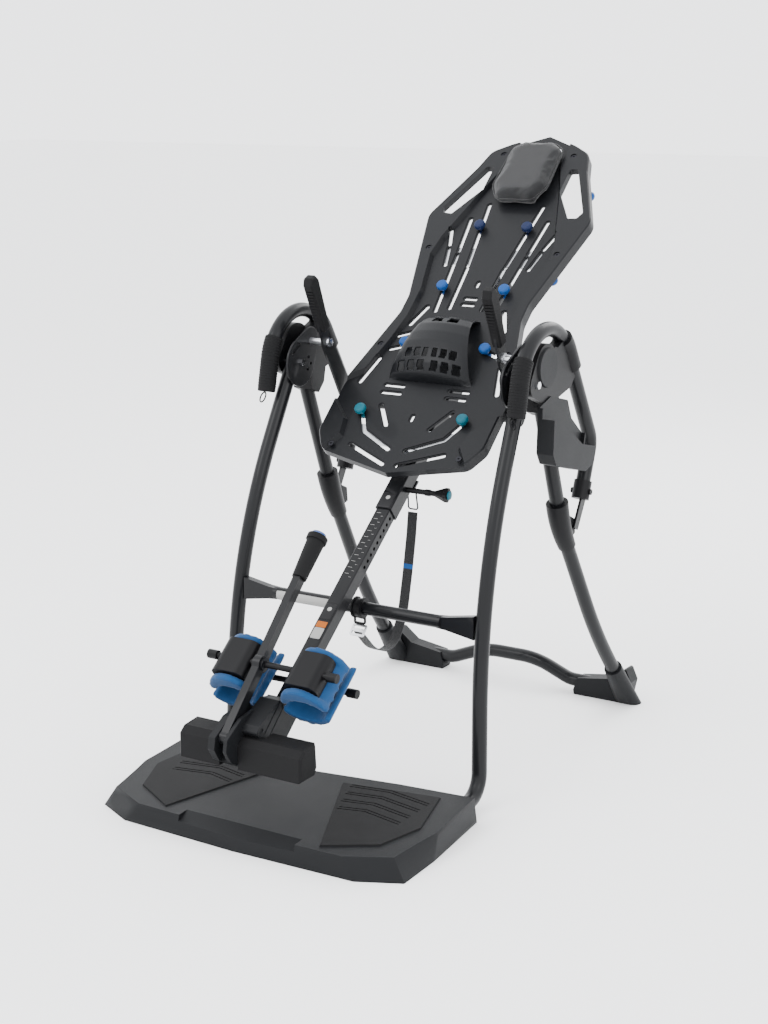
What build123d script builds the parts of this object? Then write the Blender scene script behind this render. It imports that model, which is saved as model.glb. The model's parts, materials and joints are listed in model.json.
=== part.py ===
# Inversion table: an A-shaped frame that a tilting back panel swings in.
# Millimetres. +X is the user's left-to-right, +Y runs from the step to the rear feet, +Z is up.
# The origin is on the floor, under the middle of the whole machine. X = 0 is the plane of symmetry.
from build123d import *
import os
from math import cos, sin, radians, atan2, degrees, hypot

os.makedirs("parts", exist_ok=True)

# ---- driving dimensions ------------------------------------------------------------------
TUBE_R = 17.5            # outside radius of every frame tube
TUBE_WALL = 2.0
TUBE_BORE = TUBE_R - TUBE_WALL
SOCKET_R = TUBE_R + 0.1  # bore of a moulding that a tube sits in

PIVOT_Y, PIVOT_Z = 12.0, 972.0   # axis the table turns on
FOLD_Y, FOLD_Z = -30.0, 925.0    # axis the rear frame folds on
PLATE_X = 283.0                  # inner face of the hinge plates
PLATE_T = 6.0
PIN_R = 8.0
FOLD_BOLT_R = 5.0
RUNNING = 0.05                   # radial clearance of a pin in its hole

LEG_TOP_X = 307.0
ARCH_X = 334.0           # plane of the arched handle tubes
ARCH_R = 129.0
ARCH_Y, ARCH_Z = 37.5, 912.0     # centre of the arch
REAR_X = 322.0           # plane of the upper rear legs

BED_TILT = 41.5          # degrees from the floor
BED_Y, BED_Z = 211.0, 1000.0     # origin of the bed's own axes
PANEL_T = 6.0
DISH = 12.0              # depth of the middle of the panel below its side flanges
SKIRT = 30.0

SHAFT_TILT = 38.4
SHAFT_Y, SHAFT_Z = -237.5, 522.2 # a point on the shaft's upper face
SHAFT_W = 36.0
SHAFT_WALL = 3.0
SLEEVE_GAP = 0.5
SLEEVE_WALL = 3.0

LEVER_X = -30.0          # the ankle lever stands left of the shaft
LEVER_W = 18.0
LEVER_HINGE = (-545.0, 72.0)     # in the shaft's side plane
FRONT_AXLE = (-364.0, 90.0)
REAR_AXLE = (-331.0, -18.0)
CUP_X = 93.0             # middle of each ankle cup
CUP_MID = 36.0           # height of the ankle's centre above the shaft's face

FLOOR = Plane.XY
bed_c, bed_s = cos(radians(BED_TILT)), sin(radians(BED_TILT))
shaft_c, shaft_s = cos(radians(SHAFT_TILT)), sin(radians(SHAFT_TILT))


def side(x):
    """Plane seen from +X, with local axes Y and Z."""
    return Plane(origin=(x, 0, 0), x_dir=(0, 1, 0), z_dir=(1, 0, 0))


def bed_side(x=0):
    """Side plane of the bed: first along it towards the head, second up out of it."""
    return Plane(origin=(x, BED_Y, BED_Z), x_dir=(0, bed_c, bed_s), z_dir=(1, 0, 0))


def bed_top(h=0):
    """Plane over the bed, h above its flanges: first across, second towards the head."""
    origin = (0, BED_Y - h * bed_s, BED_Z + h * bed_c)
    return Plane(origin=origin, x_dir=(1, 0, 0), z_dir=(0, -bed_s, bed_c))


def shaft_side(x=0):
    return Plane(origin=(x, SHAFT_Y, SHAFT_Z), x_dir=(0, shaft_c, shaft_s), z_dir=(1, 0, 0))


def shaft_top(b=0):
    origin = (0, SHAFT_Y - b * shaft_s, SHAFT_Z + b * shaft_c)
    return Plane(origin=origin, x_dir=(1, 0, 0), z_dir=(0, -shaft_s, shaft_c))


def shaft_section(a):
    """Plane square to the shaft at distance a along it: first across, second out of its face."""
    origin = (0, SHAFT_Y + a * shaft_c, SHAFT_Z + a * shaft_s)
    return Plane(origin=origin, x_dir=(1, 0, 0), z_dir=(0, -shaft_c, -shaft_s))


def area(*points):
    """A polygon with its face turned to the plane's normal, whichever way its points run."""
    points = list(points)
    turn = sum(a[0] * b[1] - b[0] * a[1] for a, b in zip(points, points[1:] + points[:1]))
    return Polygon(*(points if turn > 0 else points[::-1]), align=None)


def save(part, name):
    part.label = name
    export_step(part, f"parts/{name}.step")


def save_pair(part, name):
    """Writes the right-hand piece and its mirror image."""
    save(part, f"{name}_right")
    save(mirror(part, about=Plane.YZ), f"{name}_left")


def bent_tube(points, radii, outer=TUBE_R, bore=TUBE_BORE):
    """A round tube along straight runs joined by bends."""
    with BuildPart() as tube:
        with BuildLine() as path:
            FilletPolyline(*points, radius=radii)
        with BuildSketch(Plane(origin=path.line @ 0, z_dir=path.line % 0)):
            Circle(outer)
            if bore:
                Circle(bore, mode=Mode.SUBTRACT)
        sweep(path=path.line)
    return tube.part


def straight_rod(start, end, radius, bore=0):
    """A round bar or tube from one point to another."""
    axis = Vector(*end) - Vector(*start)
    with BuildPart() as rod:
        with BuildSketch(Plane(origin=start, z_dir=axis)):
            Circle(radius)
            if bore:
                Circle(bore, mode=Mode.SUBTRACT)
        extrude(amount=axis.length)
    return rod.part


# ---- step platform -----------------------------------------------------------------------
FLOOR_OUTLINE = [(0, -738), (298, -729), (392, -684), (392, -560), (374, -338), (200, -372), (0, -396)]
TOP_OUTLINE = [(0, -716), (232, -711), (338, -668), (386, -530), (383, -372), (200, -384), (0, -412)]
TOP_BACK_Z, TOP_FRONT_Z = 72.0, 45.0
SHELL = 5.0


def both_sides(half):
    """Closes a half outline by its mirror image, keeping the points on X = 0 once."""
    return half + [(-x, y) for x, y in reversed(half) if x > 0]


def shrunk(half, edge):
    middle = -560
    return [(max(x - edge, 0), y + edge if y < middle else y - edge) for x, y in half]


with BuildPart() as platform:
    with BuildSketch(FLOOR):
        with BuildLine():
            Polyline(*both_sides(FLOOR_OUTLINE), close=True)
        make_face()
    with BuildSketch(FLOOR.offset(85)):
        with BuildLine():
            Polyline(*both_sides(TOP_OUTLINE), close=True)
        make_face()
    loft(ruled=True)
    with BuildSketch(side(0)):          # the tread falls gently towards the front
        with BuildLine():
            Polyline((-338, TOP_BACK_Z), (-760, TOP_FRONT_Z - 4), (-760, 120), (-338, 120), close=True)
        make_face()
    extrude(amount=420, both=True, mode=Mode.SUBTRACT)
    with BuildSketch(side(0)):          # sloping apron in the middle of the front edge
        with BuildLine():
            Polyline((-668, 60), (-760, 12), (-760, 80), (-668, 80), close=True)
        make_face()
    extrude(amount=150, both=True, mode=Mode.SUBTRACT)
    with BuildSketch(FLOOR):            # hollow underside, in two steps
        area(*both_sides(shrunk(FLOOR_OUTLINE, 14)))
    extrude(amount=22, mode=Mode.SUBTRACT)
    with BuildSketch(FLOOR):
        area((-330, -640), (330, -640), (330, -420), (-330, -420))
    extrude(amount=38, mode=Mode.SUBTRACT)
    for x in (-338, 338):               # way in for each leg tube at the back
        with BuildSketch(Plane.XZ.offset(330)):
            with Locations((x, 30)):
                Circle(SOCKET_R)
        extrude(amount=115, mode=Mode.SUBTRACT)
save(platform.part, "platform")

# a ribbed rubber tread on each side of the middle
TREAD = [(200, -706), (312, -646), (350, -545), (318, -402), (86, -436)]
TREAD_PLANE_TILT = degrees(atan2(TOP_BACK_Z - TOP_FRONT_Z + 4, 422))
tread_plane = Plane(origin=(0, -338, TOP_BACK_Z), x_dir=(1, 0, 0),
                    z_dir=(0, -sin(radians(TREAD_PLANE_TILT)), cos(radians(TREAD_PLANE_TILT))))
with BuildPart() as tread:
    with BuildSketch(tread_plane):
        with BuildLine():
            Polyline(*[(x, y + 338) for x, y in TREAD], close=True)
        make_face()
    extrude(amount=3.2, taper=25)
    for i in range(4):                  # pairs of grooves that bend in the middle
        y = -92 - 34 * i
        with BuildSketch(tread_plane.offset(3.2)):
            for step in (0, 9):
                with BuildLine():
                    Polyline((112 + 10 * i, y - step - 6), (205, y - step + 8), (312 - 4 * i, y - step - 10),
                             (312 - 4 * i, y - step - 13), (205, y - step + 5), (112 + 10 * i, y - step - 9),
                             close=True)
                make_face()
        extrude(amount=-1.6, mode=Mode.SUBTRACT)
tread_left = mirror(tread.part, about=Plane.YZ)
save(Compound(children=[tread.part, tread_left]), "tread_pads")

# ---- front frame -------------------------------------------------------------------------
LEG_PATH = [(LEG_TOP_X, FOLD_Y + 8, FOLD_Z + 16), (326, -244, 503), (338, -262, 30), (338, -438, 30)]
LEG_BENDS = [1250, 55]
leg = bent_tube(LEG_PATH, LEG_BENDS)
with BuildPart() as front_leg:
    add(leg)
    with BuildSketch(side(LEG_TOP_X)):
        with Locations((FOLD_Y, FOLD_Z)):
            Circle(FOLD_BOLT_R + 0.1)
    extrude(amount=40, both=True, mode=Mode.SUBTRACT)
save_pair(front_leg.part, "front_leg")

CROSS_Y, CROSS_Z = -237.5, 410.0
with BuildPart() as front_crossbar:     # round in the middle, flattened where it meets the legs
    with BuildSketch(Plane.YZ):
        with Locations((CROSS_Y, CROSS_Z)):
            Circle(15)
    extrude(amount=225, both=True)
    with BuildSketch(Plane.XZ.offset(-CROSS_Y)):
        for end in (-1, 1):
            area((215 * end, CROSS_Z - 13), (240 * end, CROSS_Z - 15), (310.2 * end, CROSS_Z - 27),
                    (309.4 * end, CROSS_Z + 27), (240 * end, CROSS_Z + 15), (215 * end, CROSS_Z + 13))
    extrude(amount=9, both=True)
save(front_crossbar.part, "front_crossbar")

RING_X = 10.0
with BuildPart() as ring:               # collar on the crossbar with the strap's eye under it
    with BuildSketch(Plane.YZ.offset(RING_X - 13)):
        with Locations((CROSS_Y, CROSS_Z)):
            Circle(22)
            Circle(15.05, mode=Mode.SUBTRACT)
    extrude(amount=26)
    for x in (RING_X - 10, RING_X + 10):
        with BuildSketch(Plane.YZ.offset(x - 2)):
            with Locations((CROSS_Y, CROSS_Z)):
                Circle(25)
                Circle(15.05, mode=Mode.SUBTRACT)
        extrude(amount=4)
    with BuildSketch(Plane.XZ.offset(-CROSS_Y - 3)):
        with Locations((RING_X, CROSS_Z - 30)):
            RectangleRounded(30, 18, 4)
            RectangleRounded(24, 10, 2, mode=Mode.SUBTRACT)
    extrude(amount=6)
save(ring.part, "tether_ring")

# ---- tether strap ------------------------------------------------------------------------
STRAP_W, STRAP_T = 26.0, 2.0
STRAP_POINTS = [(2, 585), (-5, 530), (-22, 440), (-45, 340), (-85, 284), (-135, 276), (-190, 300), (-243, 352)]
STRAP_RADII = [250, 300, 180, 60, 60, 120]
with BuildPart() as strap:
    with BuildLine(side(RING_X)) as strap_line:
        FilletPolyline(*STRAP_POINTS, radius=STRAP_RADII)
    with BuildSketch(Plane(origin=strap_line.line @ 0, x_dir=(1, 0, 0), z_dir=strap_line.line % 0)):
        Rectangle(STRAP_W, STRAP_T)
    sweep(path=strap_line.line)
save(strap.part, "tether_strap")

with BuildPart() as buckle:             # metal slide that sets the strap's length
    with BuildSketch(Plane(origin=(RING_X, -243, 356), x_dir=(1, 0, 0), z_dir=(0, -0.7, 0.7))):
        RectangleRounded(38, 30, 4)
        with Locations((0, -7), (0, 7)):
            Rectangle(29, 7, mode=Mode.SUBTRACT)
    extrude(amount=4)
save(buckle.part, "tether_buckle")

# ---- hinge plates and fold bolts ---------------------------------------------------------
with BuildPart() as hinge_plate:
    with BuildSketch(side(PLATE_X)):
        with Locations((FOLD_Y, FOLD_Z)):
            Circle(58)
        with Locations((PIVOT_Y, PIVOT_Z)):
            Circle(34)
        make_hull()
        with Locations((PIVOT_Y, PIVOT_Z)):
            Circle(PIN_R + RUNNING, mode=Mode.SUBTRACT)
        with Locations((FOLD_Y, FOLD_Z)):
            Circle(FOLD_BOLT_R, mode=Mode.SUBTRACT)
        with Locations((2, 934), (12, 918), (-2, 906), (-66, 950)):
            Circle(4.5, mode=Mode.SUBTRACT)
        with Locations((-48, 962)):
            SlotCenterToCenter(26, 8, rotation=35, mode=Mode.SUBTRACT)
    extrude(amount=PLATE_T)
    fillet(hinge_plate.edges().filter_by(GeomType.CIRCLE).sort_by(SortBy.RADIUS)[-2:], 1.5)
save_pair(hinge_plate.part, "hinge_plate")

HOUSING_X0, HOUSING_X1 = 327.5, 346.0
with BuildPart() as fold_bolt:          # hexagon head inside, dome nut outside
    with BuildSketch(side(PLATE_X)):
        with Locations((FOLD_Y, FOLD_Z)):
            Circle(FOLD_BOLT_R)
    extrude(amount=HOUSING_X1 - PLATE_X + 4)
    with BuildSketch(side(PLATE_X)):
        with Locations((FOLD_Y, FOLD_Z)):
            RegularPolygon(9, 6)
    extrude(amount=-7)
    with BuildSketch(side(HOUSING_X1 + 0.3)):
        with Locations((FOLD_Y, FOLD_Z)):
            RegularPolygon(9, 6)
    extrude(amount=7)
save(Compound(children=[fold_bolt.part, mirror(fold_bolt.part, about=Plane.YZ)]), "fold_bolts")

# ---- rear frame: arched handle tubes -----------------------------------------------------
def on_arch(angle, radius=ARCH_R):
    return (ARCH_Y + radius * cos(radians(angle)), ARCH_Z + radius * sin(radians(angle)))


GRIP_RUN = 72.4          # straight part of the arch in front of its bend
ARCH_FRONT = (on_arch(168)[0] - GRIP_RUN * sin(radians(12)), on_arch(168)[1] - GRIP_RUN * cos(radians(12)))
ARCH_BEND = (294.5, 743.9)
ARCH_END = (246, 616)
with BuildPart() as arch:
    with BuildLine(side(ARCH_X)) as arch_line:
        Line(ARCH_FRONT, on_arch(168))
        CenterArc((ARCH_Y, ARCH_Z), ARCH_R, 168, -136)
        FilletPolyline(on_arch(32), ARCH_BEND, ARCH_END, radius=55)
    with BuildSketch(Plane(origin=arch_line.line @ 0, z_dir=arch_line.line % 0)):
        Circle(TUBE_R)
        Circle(TUBE_BORE, mode=Mode.SUBTRACT)
    sweep(path=arch_line.line)
save_pair(arch.part, "arch_tube")

GRIP_R = 21.5
with BuildPart() as arch_grip:          # ribbed rubber grip on the front end of the arch
    with BuildLine(side(ARCH_X)) as grip_line:
        Line(ARCH_FRONT, on_arch(168))
        CenterArc((ARCH_Y, ARCH_Z), ARCH_R, 168, -22)
    with BuildSketch(Plane(origin=grip_line.line @ 0, z_dir=grip_line.line % 0)):
        Circle(GRIP_R)
        Circle(SOCKET_R, mode=Mode.SUBTRACT)
    sweep(path=grip_line.line)
    with BuildSketch(Plane(origin=grip_line.line @ 0, z_dir=grip_line.line % 0)):
        Circle(GRIP_R)
    extrude(amount=-8)
    fillet(arch_grip.edges().group_by(Axis.Z)[0], 4)
save_pair(arch_grip.part, "arch_grip")

# moulded hinge housing: turns on the fold bolt, carries the arch and the upper rear leg
REAR_TOP, REAR_END = (38, 880), (190, 492)
rear_dir = Vector(REAR_END[0] - REAR_TOP[0], REAR_END[1] - REAR_TOP[1]).normalized()


def rear_axis(z):
    return REAR_TOP[0] + (REAR_TOP[1] - z) * (REAR_END[0] - REAR_TOP[0]) / (REAR_TOP[1] - REAR_END[1])


with BuildPart() as hinge_housing:
    with BuildSketch(side(HOUSING_X0)):             # outer cheek
        with Locations((FOLD_Y, FOLD_Z)):
            Circle(30)
        with Locations((20, 958)):
            Circle(54)
        with Locations((58, 890)):
            Circle(30)
        make_hull()
    extrude(amount=HOUSING_X1 - HOUSING_X0)
    with BuildSketch(side(292)):                    # thick back part round the rear leg's top
        with BuildLine():
            Polyline((26, 880), (30, 985), (62, 1000), (110, 985), (84, 862), (60, 838), (30, 850), close=True)
        make_face()
    extrude(amount=HOUSING_X1 - 292)
    with BuildSketch(side(318)):                    # web out to the arch
        with BuildLine():
            Polyline((60, 990), (118, 1014), (150, 985), (182, 930), (150, 895), (84, 880), close=True)
        make_face()
    extrude(amount=HOUSING_X1 - 318)
    with BuildLine(side(ARCH_X)) as socket_line:    # clamp round the arch tube
        CenterArc((ARCH_Y, ARCH_Z), ARCH_R, 50, -18)
        Line(on_arch(32), (on_arch(32)[0] + 26.5, on_arch(32)[1] - 42.4))
    with BuildSketch(Plane(origin=socket_line.line @ 0, z_dir=socket_line.line % 0)):
        Circle(24)
    sweep(path=socket_line.line)
    with BuildLine(side(ARCH_X)) as bore_line:
        CenterArc((ARCH_Y, ARCH_Z), ARCH_R, 80, -48)
        Line(on_arch(32), (on_arch(32)[0] + 79.5, on_arch(32)[1] - 127.2))
    with BuildSketch(Plane(origin=bore_line.line @ 0, z_dir=bore_line.line % 0)):
        Circle(SOCKET_R)
    sweep(path=bore_line.line, mode=Mode.SUBTRACT)
    add(straight_rod((REAR_X, REAR_TOP[0], REAR_TOP[1]), (REAR_X, rear_axis(780), 780), SOCKET_R),
        mode=Mode.SUBTRACT)
    with BuildSketch(side(HOUSING_X0 - 5)):
        with Locations((FOLD_Y, FOLD_Z)):
            Circle(FOLD_BOLT_R + RUNNING)
    extrude(amount=40, mode=Mode.SUBTRACT)
save_pair(hinge_housing.part, "hinge_housing")

with BuildPart() as hinge_cap:          # plain round cap over the housing
    with BuildSketch(side(HOUSING_X1)):
        with Locations((22, 958)):
            Circle(46)
    extrude(amount=5, taper=25)
save(Compound(children=[hinge_cap.part, mirror(hinge_cap.part, about=Plane.YZ)]), "hinge_caps")

upper_leg = straight_rod((REAR_X, REAR_TOP[0], REAR_TOP[1]), (REAR_X, rear_axis(562), 562), TUBE_R, TUBE_BORE)
save_pair(upper_leg, "upper_rear_leg")

LOWER_TOP = (REAR_X, 168, 549)
LOWER_LEG = [LOWER_TOP, (336, 356, 235), (345, 492, 77)]
lower_leg = bent_tube(LOWER_LEG, [1400])
save_pair(lower_leg, "lower_rear_leg")

with BuildPart() as collar:             # coupling between the upper and lower rear leg
    top = Vector(REAR_X, rear_axis(618), 618)
    middle = Vector(*LOWER_TOP)
    bottom = middle + (Vector(*LOWER_LEG[1]) - middle).normalized() * 56
    with BuildSketch(Plane(origin=top, z_dir=middle - top)):
        Circle(27)
    with BuildSketch(Plane(origin=middle, z_dir=bottom - top)):
        Circle(25)
    with BuildSketch(Plane(origin=bottom, z_dir=bottom - middle)):
        Circle(21.5)
    loft()
    with BuildSketch(side(308)):        # lug for the strut at the back
        with BuildLine():
            Polyline((160, 590), (212, 566), (216, 530), (178, 520), close=True)
        make_face()
    extrude(amount=28)
    add(straight_rod((REAR_X, rear_axis(700), 700), (REAR_X, rear_axis(561), 561), SOCKET_R), mode=Mode.SUBTRACT)
    low_dir = (Vector(*LOWER_LEG[1]) - middle).normalized()
    add(straight_rod(LOWER_TOP, tuple(middle + low_dir * 90), SOCKET_R), mode=Mode.SUBTRACT)
save_pair(collar.part, "leg_collar")



def arch_low(z):
    """Y of the arch tube's straight lower run at height z."""
    return ARCH_END[0] + (z - ARCH_END[1]) * (ARCH_BEND[0] - ARCH_END[0]) / (ARCH_BEND[1] - ARCH_END[1])


with BuildPart() as end_fitting:        # closed sleeve on the arch's lower end, with its bolt heads
    add(straight_rod((ARCH_X, arch_low(650), 650), (ARCH_X, arch_low(608), 608), 21.5))
    for step in (-1, 1):
        add(straight_rod((ARCH_X + 19 * step, arch_low(626), 626), (ARCH_X + 26 * step, arch_low(626), 626), 7))
    add(straight_rod((ARCH_X, arch_low(660), 660), (ARCH_X, arch_low(614.5), 614.5), SOCKET_R + 0.05),
        mode=Mode.SUBTRACT)
save(Compound(children=[end_fitting.part, mirror(end_fitting.part, about=Plane.YZ)]), "arch_end_fittings")

with BuildPart() as strut:              # flat bar from the end of the arch to the collar's lug
    with BuildSketch(side(337)):
        area((236, 616), (256, 604), (216, 538), (196, 548))
    extrude(amount=6)
    add(end_fitting.part, mode=Mode.SUBTRACT)
save(Compound(children=[strut.part, mirror(strut.part, about=Plane.YZ)]), "rear_struts")

# ---- rear base and feet ------------------------------------------------------------------
BASE_Y, BASE_LOW, BASE_HIGH = 552.0, 33.0, 74.0
base_points = [(-300, BASE_Y, BASE_LOW), (-178, BASE_Y, BASE_LOW), (-78, BASE_Y, BASE_HIGH),
               (78, BASE_Y, BASE_HIGH), (178, BASE_Y, BASE_LOW), (300, BASE_Y, BASE_LOW)]
save(bent_tube(base_points, [75, 230, 230, 75]), "rear_base")

with BuildPart() as rear_foot:
    foot_dir = (Vector(*LOWER_LEG[2]) - Vector(*LOWER_LEG[1])).normalized()
    cuff = Vector(*LOWER_LEG[2]) - foot_dir * 58
    with BuildSketch(Plane.XY):
        with Locations((347, BASE_Y)):
            SlotOverall(70, 46)
    with BuildSketch(Plane(origin=cuff, x_dir=(1, 0, 0), z_dir=-foot_dir)):
        Circle(23)
    loft(ruled=True)
    with BuildSketch(Plane.XZ.offset(-BASE_Y - 22)):      # wedge that runs inwards over the base tube
        with BuildLine():
            Polyline((200, 0), (197, 12), (208, 46), (300, 60), (346, 96), (362, 60), (350, 0), close=True)
        make_face()
    extrude(amount=44)
    fillet(rear_foot.edges().filter_by(Axis.Y).group_by(Axis.Z)[-1], 6)
    add(straight_rod((190, BASE_Y, BASE_LOW), (301, BASE_Y, BASE_LOW), SOCKET_R), mode=Mode.SUBTRACT)
    add(straight_rod(tuple(Vector(*LOWER_LEG[2]) - foot_dir * 120), tuple(Vector(*LOWER_LEG[2])), SOCKET_R),
        mode=Mode.SUBTRACT)
save_pair(rear_foot.part, "rear_foot")

# ---- storage caddy on the right rear leg -------------------------------------------------
CADDY_X0, CADDY_X1 = 346.6, 389.0
with BuildPart() as caddy:
    with BuildSketch(side(CADDY_X0)):
        with BuildLine():
            Polyline((-22, 872), (-26, 770), (-8, 742), (150, 700), (196, 712), (212, 775), (150, 822),
                     (128, 868), (40, 890), close=True)
        make_face()
    extrude(amount=CADDY_X1 - CADDY_X0)
    fillet(caddy.edges().filter_by(Axis.X), 8)
    with BuildSketch(side(CADDY_X0 + 3)):
        with BuildLine():
            Polyline((-18, 905), (-22, 771), (-5, 746), (149, 704), (192, 716), (208, 776), (208, 905), close=True)
        make_face()
    extrude(amount=CADDY_X1 - CADDY_X0 - 6, mode=Mode.SUBTRACT)
    with BuildSketch(side(CADDY_X0 + 12)):      # the outer wall is cut lower than the inner one
        with BuildLine():
            Polyline((-40, 852), (20, 838), (130, 768), (230, 744), (230, 905), (-40, 905), close=True)
        make_face()
    extrude(amount=60, mode=Mode.SUBTRACT)
    with BuildSketch(side(CADDY_X0 - 1)):
        with Locations((64, 812)):
            Circle(4.2)
    extrude(amount=6, mode=Mode.SUBTRACT)
    with BuildSketch(side(CADDY_X0)):           # pad that bears on the leg
        area((62, 796), (84, 802), (104, 752), (82, 746))
    extrude(amount=-(CADDY_X0 - REAR_X - TUBE_R - 0.1))
save(caddy.part, "storage_caddy")

# ---- back panel --------------------------------------------------------------------------
OUTLINE = [(0, 677), (92, 636), (140, 607), (158, 545), (230, 372), (168, 95), (168, 40), (226, -190),
           (224, -345), (196, -394), (0, -438)]
OUTLINE_RADII = {1: 30, 2: 40, 3: 60, 4: 45, 5: 80, 6: 80, 7: 120, 8: 40, 9: 30}
SLOTS = [  # (x, s) of each end's centre and the width, right half
    (76, 424, 53, 214, 9), (51, 206, 45, 72, 9),
    (109, 372, 98, 262, 9), (97, 250, 80, 60, 9),
    (148, 330, 133, 282, 9), (130, 270, 117, 212, 9),
    (107, 70, 130, 12, 11), (118, -16, 146, -28, 9), (110, -56.8, 150, -72, 9),
    (167, -104, 187, -180, 11), (64, -183, 112, -183, 8), (64, -206, 112, -206, 8),
    (97, -246, 60, -302, 10), (139, -272, 109, -326, 10), (109, -326, 24, -370, 10), (126, -370, 20, -414, 10)]
CENTRE_SLOTS = [(0, 160, 0, 148, 8), (-14, 106, 14, 106, 8), (-14, 86, 14, 86, 8), (0, -268, 0, -280, 8)]
SCREWS = [(100, 597), (180, 258), (175, -68), (173, -380)]
DISH_EDGE = [(0, 720), (66, 700), (68, 640), (70, 560), (102, 470), (152, 300), (160, 240), (136, 120), (136, 30),
             (150, -50), (176, -150), (250, -200), (250, -214), (166, -300), (156, -350), (188, -396),
             (200, -460), (0, -460)]


def slot_cut(x0, s0, x1, s1, width):
    """A round-ended slot between two centres."""
    with Locations(((x0 + x1) / 2, (s0 + s1) / 2)):
        SlotCenterToCenter(hypot(x1 - x0, s1 - s0), width, rotation=degrees(atan2(s1 - s0, x1 - x0)))


def all_slots(extra=0.0):
    for x0, s0, x1, s1, width in SLOTS:
        slot_cut(x0, s0, x1, s1, width + extra)
        slot_cut(-x0, s0, -x1, s1, width + extra)
    for x0, s0, x1, s1, width in CENTRE_SLOTS:
        slot_cut(x0, s0, x1, s1, width + extra)


HAND_HOLE = [(109, 548), (130, 550), (198, 400), (188, 380), (164, 378), (109, 468)]
TOP_HANDLE = [(54, 606), (52, 634), (0, 657), (-52, 634), (-54, 606)]


with BuildPart() as dish:               # the lower middle of the panel, with sloping sides
    with BuildSketch(bed_top(-DISH)):
        area(*both_sides(DISH_EDGE))
    extrude(amount=DISH + 2, taper=-30)

with BuildPart() as back_panel:
    with BuildSketch(bed_top(0)) as panel_shape:
        area(*both_sides(OUTLINE))
        for index, radius in OUTLINE_RADII.items():
            for sign in (-1, 1):
                x, s = OUTLINE[index]
                corner_vertex = panel_shape.vertices().sort_by_distance((sign * x, s, 0))[0]
                fillet(corner_vertex, radius)
    extrude(amount=-SKIRT)
    chamfer(back_panel.faces().sort_by(Axis((0, 0, 0), (0, -bed_s, bed_c)))[-1].edges(), 3)
    with BuildSketch(bed_top(-SKIRT)):
        add(panel_shape.sketch_local)
        offset(amount=-6)
    extrude(amount=SKIRT - DISH - PANEL_T, mode=Mode.SUBTRACT)
    add(dish.part, mode=Mode.SUBTRACT)
    with BuildSketch(bed_top(1)):
        for sign in (-1, 1):
            area(*[(sign * x, s) for x, s in HAND_HOLE])
        area(*TOP_HANDLE)
        fillet(vertices(), 5)
    extrude(amount=-40, mode=Mode.SUBTRACT)
    with BuildSketch(bed_top(-DISH)):
        all_slots(6)
    extrude(amount=-1.6, mode=Mode.SUBTRACT)
    with BuildSketch(bed_top(1)):
        all_slots()
    extrude(amount=-40, mode=Mode.SUBTRACT)
    with BuildSketch(bed_top(1)):
        with Locations(*[(sign * x, s) for x, s in SCREWS for sign in (-1, 1)]):
            Circle(8)
    extrude(amount=-7, mode=Mode.SUBTRACT)
save(back_panel.part, "back_panel")

with BuildPart() as panel_screw:
    with BuildSketch(bed_top(-6)):
        with Locations(*[(sign * x, s) for x, s in SCREWS for sign in (-1, 1)]):
            Circle(7)
    extrude(amount=3.5)
    with BuildSketch(bed_top(-2.5)):
        with Locations(*[(sign * x, s) for x, s in SCREWS for sign in (-1, 1)]):
            RegularPolygon(3, 6)
    extrude(amount=-2, mode=Mode.SUBTRACT)
save(panel_screw.part, "panel_screws")

PILLOW = [(44, 628), (74, 604), (80, 470), (52, 422)]
with BuildPart() as head_pillow:
    with BuildSketch(bed_top(0.2)):
        area(*PILLOW, *[(-x, s) for x, s in reversed(PILLOW)])
        fillet(vertices(), 10)
    extrude(amount=26, taper=14)
    with BuildSketch(bed_top(0.2)):     # its middle fills the panel's dish
        area((42, 622), (61, 600), (64, 480), (50, 428), (-50, 428), (-64, 480), (-61, 600), (-42, 622))
    extrude(amount=-DISH)
save(head_pillow.part, "head_pillow")

# ---- lumbar bridge -----------------------------------------------------------------------
BRIDGE_OUT = [(-166, -DISH), (-164, 14), (-120, 42), (-64, 54), (-20, 50), (26, 16), (40, -DISH)]
BRIDGE_IN = [(-158, -DISH - 2), (-157, 9), (-117, 35), (-64, 47), (-23, 43), (20, 11), (33, -DISH - 2)]
DOME_R = 260.0
across = Plane(origin=(0, BED_Y + 60 * bed_c, BED_Z + 60 * bed_s), x_dir=(1, 0, 0), z_dir=(0, -bed_c, -bed_s))
with BuildPart() as under_bridge:
    with BuildSketch(bed_side(0)):
        area(*BRIDGE_IN)
    extrude(amount=140, both=True)
    with BuildSketch(across):
        with Locations((0, 54 - DOME_R)):
            Circle(DOME_R - 6)
    extrude(amount=260, mode=Mode.INTERSECT)

with BuildPart() as lumbar_bridge:
    with BuildSketch(bed_side(0)):
        area(*BRIDGE_OUT)
    extrude(amount=124, both=True)
    with BuildSketch(bed_top(-DISH)):
        area((-122, -170), (122, -170), (54, 44), (-54, 44))
    extrude(amount=90, mode=Mode.INTERSECT)
    with BuildSketch(across):
        with Locations((0, 54 - DOME_R)):
            Circle(DOME_R)
    extrude(amount=260, mode=Mode.INTERSECT)
    add(under_bridge.part, mode=Mode.SUBTRACT)
    for sign in (-1, 1):                # windows in the front slope
        with BuildSketch(bed_top(60)):
            with Locations((sign * 56, -140)):
                RectangleRounded(44, 16, 6)
        extrude(amount=-60, mode=Mode.SUBTRACT)
save(lumbar_bridge.part, "lumbar_bridge")

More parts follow.
